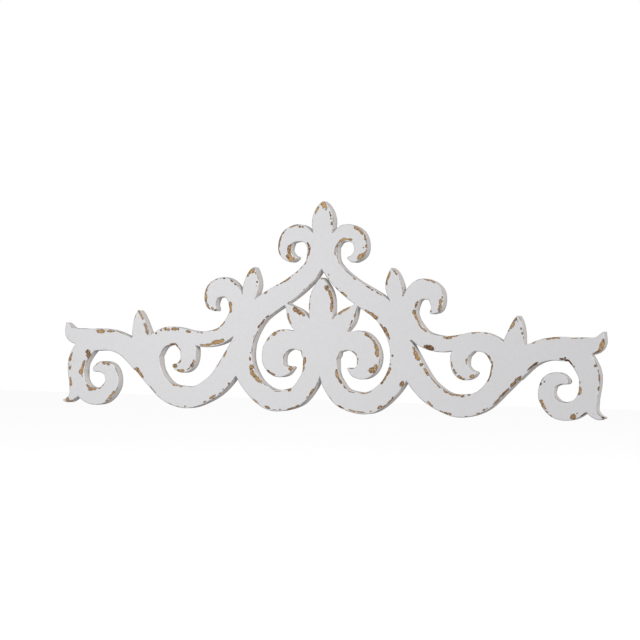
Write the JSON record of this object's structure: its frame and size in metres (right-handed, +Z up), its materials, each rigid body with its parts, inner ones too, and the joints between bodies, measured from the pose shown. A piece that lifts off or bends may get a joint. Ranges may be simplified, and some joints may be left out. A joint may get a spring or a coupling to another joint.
{
  "type": "carved headpiece",
  "caption": "White painted fretwork headpiece for a door, window or wall: a flat board sawn into mirrored scrolls and leaves under a finial, with chipped edges.",
  "frame": {"origin": "on the flat back face, on the middle line, halfway up the board", "axes": "+X along the board to its right end, +Z up to the finial, -Y out of the painted front"},
  "size_m": [0.8988, 0.0178, 0.3244],
  "materials": {
    "painted_board": "matte"
  },
  "bodies": {
    "root": {"headpiece_board": "painted_board"}
  },
  "joints": []
}
